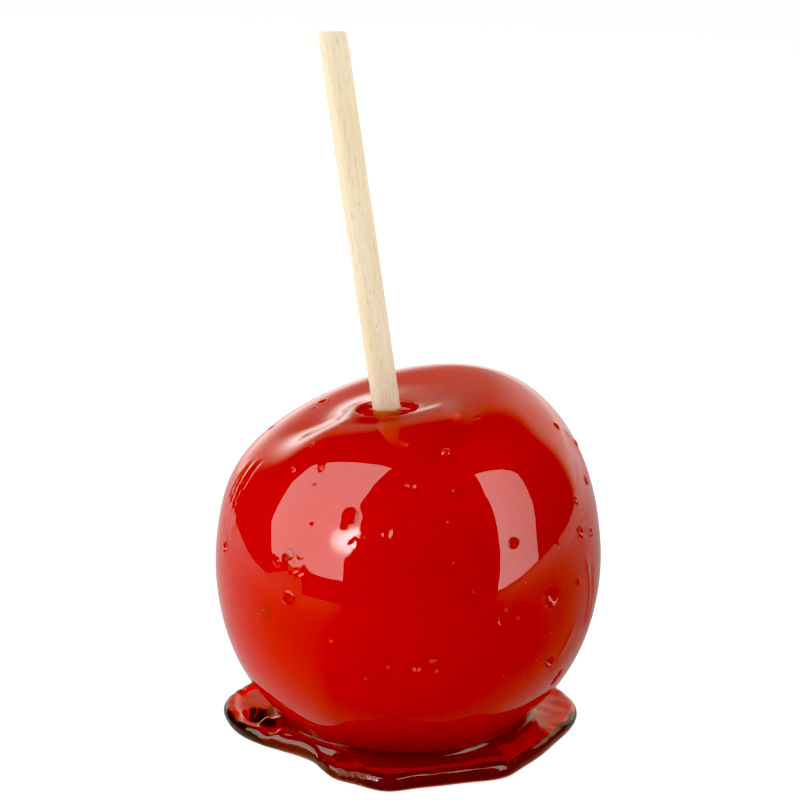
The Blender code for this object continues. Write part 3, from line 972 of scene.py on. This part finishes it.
def dowel_tree():
    """Nodes that turn a dowel: a line swept by a circle, uneven, with an eased and slanted top."""
    tree = bpy.data.node_groups.new("dowel", "GeometryNodeTree")
    tree.interface.new_socket("Geometry", in_out="OUTPUT", socket_type="NodeSocketGeometry")
    sizes = ("Radius", "Bottom", "Top", "Eased edge", "Unevenness", "Slant across", "Slant back")
    for name in sizes:
        tree.interface.new_socket(name, in_out="INPUT", socket_type="NodeSocketFloat")
    for name in ("Place", "Lean"):
        tree.interface.new_socket(name, in_out="INPUT", socket_type="NodeSocketVector")
    tree.interface.new_socket("Finish", in_out="INPUT", socket_type="NodeSocketMaterial")
    given = add_node(tree, "NodeGroupInput", {}).outputs
    radius, bottom, top, eased = (given[name] for name in sizes[:4])

    line = add_node(tree, "GeometryNodeCurvePrimitiveLine", {}, (0, 0, 0), (0, 0, 1))
    line = add_node(tree, "GeometryNodeResampleCurve", {}, line, True, DOWEL_RINGS)
    share = add_node(tree, "GeometryNodeSplineParameter", {}).outputs["Factor"]
    straight = add_node(tree, "ShaderNodeMapRange", {}, share, 0.0, STRAIGHT_SHARE, bottom)
    turned = add_node(tree, "ShaderNodeMapRange", {}, share, STRAIGHT_SHARE, 1.0, 0.0, np.pi / 2)
    shoulder = add_node(tree, "ShaderNodeMath", SUBTRACT, top, eased)
    plug(tree, shoulder, straight.inputs["To Max"])
    rise = add_node(tree, "ShaderNodeMath", {"operation": "SINE"}, turned)
    height = add_node(tree, "ShaderNodeMath", MULTIPLY_ADD, rise, eased, straight)
    height = add_node(tree, "ShaderNodeCombineXYZ", {}, 0.0, 0.0, height)
    line = add_node(tree, "GeometryNodeSetPosition", {}, line, True, height)

    fall = add_node(tree, "ShaderNodeMath", {"operation": "COSINE"}, turned)
    inner = add_node(tree, "ShaderNodeMath", SUBTRACT, radius, eased)
    width = add_node(tree, "ShaderNodeMath", MULTIPLY_ADD, fall, eased, inner)
    circle = add_node(tree, "GeometryNodeCurvePrimitiveCircle", {}, DOWEL_SIDES, Radius=1.0)
    dowel = add_node(tree, "GeometryNodeCurveToMesh", {}, line, circle, width, True)

    place = add_node(tree, "GeometryNodeInputPosition", {}).outputs[0]
    dowel = add_node(tree, "GeometryNodeStoreNamedAttribute", {"data_type": "FLOAT_VECTOR"},
                     dowel, True, "along_grain", place)
    split = add_node(tree, "ShaderNodeSeparateXYZ", {}, place)
    near_top = add_node(tree, "ShaderNodeMath", SUBTRACT, top, TOP_CUT_REACH)
    share = add_node(tree, "ShaderNodeMapRange", {}, split.outputs["Z"], near_top, top)
    across = add_node(tree, "ShaderNodeMath", MULTIPLY, split.outputs["X"], given["Slant across"])
    slant = add_node(tree, "ShaderNodeMath", MULTIPLY_ADD, split.outputs["Y"],
                     given["Slant back"], across)
    slant = add_node(tree, "ShaderNodeMath", MULTIPLY, slant, share)
    slant = add_node(tree, "ShaderNodeCombineXYZ", {}, 0.0, 0.0, slant)
    dowel = add_node(tree, "GeometryNodeSetPosition", {}, dowel, True, Offset=slant)

    worn = add_node(tree, "ShaderNodeVectorMath", MULTIPLY, place, UNEVEN_WAVES)
    worn = add_node(tree, "ShaderNodeTexNoise", {}, worn, Scale=1.0, Detail=1.0).outputs["Color"]
    worn = add_node(tree, "ShaderNodeVectorMath", SUBTRACT, worn, (0.5, 0.5, 0.5))
    worn = add_node(tree, "ShaderNodeVectorMath", {"operation": "SCALE"}, worn,
                    Scale=given["Unevenness"])
    dowel = add_node(tree, "GeometryNodeSetPosition", {}, dowel, True, Offset=worn)

    dowel = add_node(tree, "GeometryNodeTransform", {}, dowel, given["Place"], given["Lean"])
    dowel = add_node(tree, "GeometryNodeRealizeInstances", {}, dowel)
    dowel = add_node(tree, "GeometryNodeSetMaterial", {}, dowel, True, given["Finish"])
    add_node(tree, "NodeGroupOutput", {}, dowel)
    return tree


def make_dowel():
    """Dowel, swept along its length, with its top sawn level from side to side."""
    saw = STICK_LEAN.T @ (0, np.sin(np.radians(TOP_CUT_SLOPE)), np.cos(np.radians(TOP_CUT_SLOPE)))
    sizes = {
        "Radius": STICK_DIAMETER / 2,
        "Bottom": STICK_END,
        "Top": STICK_TOP - TOP_CUT_DROP,
        "Eased edge": EASED_EDGE,
        "Unevenness": UNEVENNESS,
        "Slant across": -saw[0] / saw[2],
        "Slant back": -saw[1] / saw[2],
        "Place": STICK_MIDDLE.tolist(),
        "Lean": list(Matrix(STICK_LEAN.tolist()).to_euler()),
        "Finish": dowel_material(),
    }
    holder = bpy.data.objects.new("holder", bpy.data.meshes.new("holder"))
    bpy.context.collection.objects.link(holder)
    nodes = holder.modifiers.new("dowel", "NODES")
    nodes.node_group = dowel_tree()
    for socket in nodes.node_group.interface.items_tree:
        if socket.in_out == "INPUT":
            nodes[socket.identifier] = sizes[socket.name]
    made = holder.evaluated_get(bpy.context.evaluated_depsgraph_get())
    data = bpy.data.meshes.new_from_object(made)
    bpy.data.objects.remove(holder)
    data.name = "beech_dowel"
    data.shade_smooth()
    return fit_piece(data, "stick")


make_dowel()
make_fruit()
make_toffee()


# --- Stage: table, light and camera ---

# Each soft light: its corners as (azimuth from the front, elevation), its radiance at its first side
# and on the far side, and the lamp behind it, where it shows, as (azimuth, elevation, radiance)
PANELS = {
    "left_softbox": (
        ((-41, 11), (-44, 27), (-51, 50), (-50, 64), (-38, 74), (-70, 68), (-94, 57), (-108, 41),
         (-111, 30), (-104, 16), (-93, 7), (-75, 9)), 5.2, 3.6, (-47, 32, 14.0)),
    "right_strip": (
        ((47, 0), (47, 16), (42, 33), (36, 47), (29, 68), (77, 42), (79, 31), (80, 20), (77, 8),
         (77, 0)), 5.0, 3.4, None),
    "low_board": (
        ((-64, -3), (-66, 7), (-72, 7), (-85, 2.5), (-93, -1), (-96, -3)), 1.0, 1.0, None),
}

# Their distance from the apple, and how far a lamp's glow spreads over one
PANEL_DISTANCE = 0.8
LAMP_SPREAD = 0.16

# Table: its radius, the step of its corners in degrees, the gap that keeps its face apart from the
# foot's, and its whiteness for light, and as it is seen, with the glow that makes it white
TABLE_RADIUS = 2.5
TABLE_STEP = 15
TABLE_GAP = 0.0002
TABLE_WHITENESS = 0.80
SEEN_WHITENESS = 0.45
SEEN_GLOW = 0.80

# Brightness of the table in a mirror: beside the apple, and at its right by some X, far away, and in
# front, with the distances between which near turns into far
TABLE_NEAR = 0.64
TABLE_NEAR_RIGHT = 0.40
NEAR_RIGHT_X = 0.06
TABLE_FAR = 1.05
NEAR_TO_FAR = (0.08, 0.60)
TABLE_FRONT = 0.45

# The dark in front of it: its middle, in radians from the front to the right, and how far each side
# of that its soft edge starts and ends
DARK_MIDDLE = 0.07
DARK_EDGE = (0.62, 0.92)

# Pale wall at the back, seen from the apple: the slopes of its top, right and left edges, and their
# softness. It is brighter to the right, and in a low band, and each pair of radiances and of the
# band's tops, in parts of a unit vector, is for two places from left to right
WALL_TOP = 0.97
WALL_RIGHT = 1.28
WALL_LEFT = 0.80
WALL_SOFTNESS = 0.20
WALL_PLACES = (-0.02, 0.35)
WALL_RADIANCES = (0.42, 1.2)
BAND_PLACES = (-0.12, 0.0)
BAND_RADIANCES = (1.8, 1.3)
BAND_TOPS = (0.38, 0.14)
BAND_FADES_FROM = 0.05
WALL_COLOUR = "FFFBF0"
ROOM_RADIANCE = 0.16

# Soft light that reaches the fruit and the foot through the toffee: the share of the soft lights,
# what comes from above, with the heights between which it grows, and what comes from the table,
# which is in the foot's own shadow near it and clear of it further out
PANEL_SHARE = 0.72
ROOM_FILL = 0.51
ROOM_HEIGHTS = (0.2, 0.9)
TABLE_FILL = 0.49
TABLE_SHADOW = 0.11
SHADOW_EDGE = (0.036, 0.075)

# The least red, green and blue that show, below which a tone loses its last trace of that colour
DEEPEST_TONE = (0.0, 0.026, 0.042)

# Camera, a little above the apple and in front of it
CAMERA_PLACE = (-0.0021, -0.6199, 0.2700)
CAMERA_TARGET = (-0.0021, 0.0, 0.0746)
LENS = 134.55
SENSOR_WIDTH = 36.0
CLIP_START = 0.01


def facing(azimuth, elevation):
    """Unit vector towards an azimuth counted from the front to the right, and an elevation."""
    azimuth, elevation = np.radians(azimuth), np.radians(elevation)
    level = np.cos(elevation)
    return np.array((np.sin(azimuth) * level, -np.cos(azimuth) * level, np.sin(elevation)))


def make_panel(name, corners, near_side, far_side, lamp):
    """Flat soft light whose corners are seen from the apple at the given directions."""
    rays = np.array([facing(*corner) for corner in corners])
    middle = rays.mean(0)
    middle /= np.linalg.norm(middle)
    places = CENTRE + rays * (PANEL_DISTANCE / (rays @ middle))[:, None]
    material = bpy.data.materials.new(name)
    material.use_nodes = True
    tree = material.node_tree
    tree.nodes.clear()
    place = add_node(tree, "ShaderNodeNewGeometry", {}).outputs["Position"]
    across = places[-1] - places[0]
    start, end = float(places[0] @ across), float((places @ across).max())
    along = add_node(tree, "ShaderNodeVectorMath", {"operation": "DOT_PRODUCT"}, place, across)
    strength = add_node(tree, "ShaderNodeMapRange", {}, along.outputs["Value"], start, end,
                        near_side, far_side)
    path = add_node(tree, "ShaderNodeLightPath", {}).outputs
    if lamp:
        *way, extra = lamp
        bulb = CENTRE + facing(*way) * PANEL_DISTANCE / (facing(*way) @ middle)
        away = add_node(tree, "ShaderNodeVectorMath", {"operation": "DISTANCE"}, place, bulb)
        spot = add_node(tree, "ShaderNodeMapRange", SMOOTH,
                        away.outputs["Value"], 0.0, LAMP_SPREAD, extra, 0.0)
        strength = add_node(tree, "ShaderNodeMath", MULTIPLY_ADD, spot,
                            path["Is Glossy Ray"], strength)
    dimmed = add_node(tree, "ShaderNodeMapRange", {}, path["Is Transmission Ray"], 0.0, 1.0,
                      1.0, PANEL_SHARE)
    strength = add_node(tree, "ShaderNodeMath", MULTIPLY, strength, dimmed)
    glow = add_node(tree, "ShaderNodeEmission", {}, Strength=strength)
    add_node(tree, "ShaderNodeOutputMaterial", {}, glow)
    panel = make_stage(name, places, material)
    panel.visible_camera = False


def make_stage(name, places, material):
    """Flat surface that isn't part of the toffee apple."""
    data = bpy.data.meshes.new(name)
    data.from_pydata([tuple(place) for place in places], [], [range(len(places))])
    data.materials.append(material)
    surface = bpy.data.objects.new(name, data)
    bpy.context.collection.objects.link(surface)
    return surface


def make_table():
    """White table under soft light; the room in front of it is dark in its mirror image."""
    material, tree, shader = new_material("white_table")
    shader.inputs["Roughness"].default_value = 1.0
    shader.inputs["Specular IOR Level"].default_value = 0.0
    place = add_node(tree, "ShaderNodeNewGeometry", {}).outputs["Position"]
    split = add_node(tree, "ShaderNodeSeparateXYZ", {}, place)
    forward = add_node(tree, "ShaderNodeMath", MULTIPLY, split.outputs["Y"], -1.0)
    azimuth = add_node(tree, "ShaderNodeMath", {"operation": "ARCTAN2"}, split.outputs["X"],
                       forward)
    aside = add_node(tree, "ShaderNodeMath", SUBTRACT, azimuth, DARK_MIDDLE)
    aside = add_node(tree, "ShaderNodeMath", {"operation": "ABSOLUTE"}, aside)
    aside = add_node(tree, "ShaderNodeMapRange", SMOOTH, aside, *DARK_EDGE, 0.0, 1.0)
    away = add_node(tree, "ShaderNodeVectorMath", {"operation": "LENGTH"}, place)
    near = add_node(tree, "ShaderNodeMapRange", {}, split.outputs["X"], 0.0, NEAR_RIGHT_X,
                    TABLE_NEAR, TABLE_NEAR_RIGHT)
    side = add_node(tree, "ShaderNodeMapRange", {}, away, *NEAR_TO_FAR, near, TABLE_FAR)
    mirrored = add_node(tree, "ShaderNodeMix", NUMBERS, aside, TABLE_FRONT, side)
    path = add_node(tree, "ShaderNodeLightPath", {}).outputs
    through = add_node(tree, "ShaderNodeMath", SUBTRACT, 1.0, path["Is Transmission Ray"])
    mirror = add_node(tree, "ShaderNodeMath", MULTIPLY, path["Is Glossy Ray"], through)
    shade = add_node(tree, "ShaderNodeMix", NUMBERS, mirror, TABLE_WHITENESS, 0.0)
    shade = add_node(tree, "ShaderNodeMix", NUMBERS, path["Is Camera Ray"], shade, SEEN_WHITENESS)
    colour = add_node(tree, "ShaderNodeCombineColor", {}, shade, shade, shade)
    plug(tree, colour, shader.inputs["Base Color"])
    fill = add_node(tree, "ShaderNodeMapRange", {}, away, *SHADOW_EDGE, TABLE_SHADOW, TABLE_FILL)
    glow = add_node(tree, "ShaderNodeMix", NUMBERS, path["Is Camera Ray"], fill, SEEN_GLOW)
    glow = add_node(tree, "ShaderNodeMix", NUMBERS, mirror, glow, mirrored)
    shader.inputs["Emission Color"].default_value = (1, 1, 1, 1)
    plug(tree, glow, shader.inputs["Emission Strength"])
    corners = [TABLE_RADIUS * facing(azimuth, 0) - (0, 0, TABLE_GAP)
               for azimuth in range(0, 360, TABLE_STEP)]
    make_stage("table", corners, material)


def make_world():
    """White to the eye, with a pale wall behind the apple and the dark of the room elsewhere."""
    world = bpy.data.worlds.new("studio")
    bpy.context.scene.world = world
    world.use_nodes = True
    tree = world.node_tree
    tree.nodes.clear()
    toward = add_node(tree, "ShaderNodeTexCoord", {}).outputs["Generated"]
    split = add_node(tree, "ShaderNodeSeparateXYZ", {}, toward)
    right, back, up = (split.outputs[axis] for axis in "XYZ")
    down = add_node(tree, "ShaderNodeMath", MULTIPLY, up, -1.0)
    left = add_node(tree, "ShaderNodeMath", MULTIPLY, right, -1.0)
    high = add_node(tree, "ShaderNodeMapRange", {}, right, *WALL_PLACES, *WALL_RADIANCES)
    low = add_node(tree, "ShaderNodeMapRange", {}, right, *BAND_PLACES, *BAND_RADIANCES)
    reach = add_node(tree, "ShaderNodeMapRange", {}, right, *BAND_PLACES, *BAND_TOPS)
    wall = add_node(tree, "ShaderNodeMapRange", SMOOTH, up, BAND_FADES_FROM, reach, low, high)
    for slope, away in ((WALL_TOP, down), (WALL_RIGHT, left), (WALL_LEFT, right)):
        inside = add_node(tree, "ShaderNodeMath", MULTIPLY_ADD, back, slope, away)
        inside = add_node(tree, "ShaderNodeMapRange", SMOOTH, inside,
                          -WALL_SOFTNESS, WALL_SOFTNESS, 0.0, 1.0)
        wall = add_node(tree, "ShaderNodeMath", MULTIPLY, inside, wall)
    wall = add_node(tree, "ShaderNodeMath", {"operation": "ADD"}, wall, ROOM_RADIANCE)
    path = add_node(tree, "ShaderNodeLightPath", {}).outputs
    above = add_node(tree, "ShaderNodeMapRange", {}, up, *ROOM_HEIGHTS, 0.0, ROOM_FILL)
    wall = add_node(tree, "ShaderNodeMath", MULTIPLY_ADD, path["Is Transmission Ray"], above, wall)
    strength = add_node(tree, "ShaderNodeMix", NUMBERS, path["Is Camera Ray"], wall, 1.0)
    colour = add_node(tree, "ShaderNodeMix", COLOURS, path["Is Camera Ray"],
                      linear(WALL_COLOUR), (1, 1, 1, 1))
    background = add_node(tree, "ShaderNodeBackground", {}, Color=colour, Strength=strength)
    add_node(tree, "ShaderNodeOutputWorld", {}, background)


def develop():
    """Plain view of the colours, in which the toffee's deep red loses its last trace of blue."""
    view = bpy.context.scene.view_settings
    view.view_transform = "Standard"
    view.use_curve_mapping = True
    view.curve_mapping.black_level = DEEPEST_TONE
    view.curve_mapping.update()


def make_camera():
    """Camera that looks at the middle of the whole toffee apple."""
    camera = bpy.data.objects.new("camera", bpy.data.cameras.new("camera"))
    bpy.context.collection.objects.link(camera)
    camera.data.sensor_width = SENSOR_WIDTH
    camera.data.lens = LENS
    camera.data.clip_start = CLIP_START
    camera.location = CAMERA_PLACE
    back = camera.location - Vector(CAMERA_TARGET)
    camera.rotation_mode = "QUATERNION"
    camera.rotation_quaternion = back.to_track_quat("Z", "Y")
    bpy.context.scene.camera = camera


make_table()
make_world()
for name, light in PANELS.items():
    make_panel(name, *light)
make_camera()
develop()
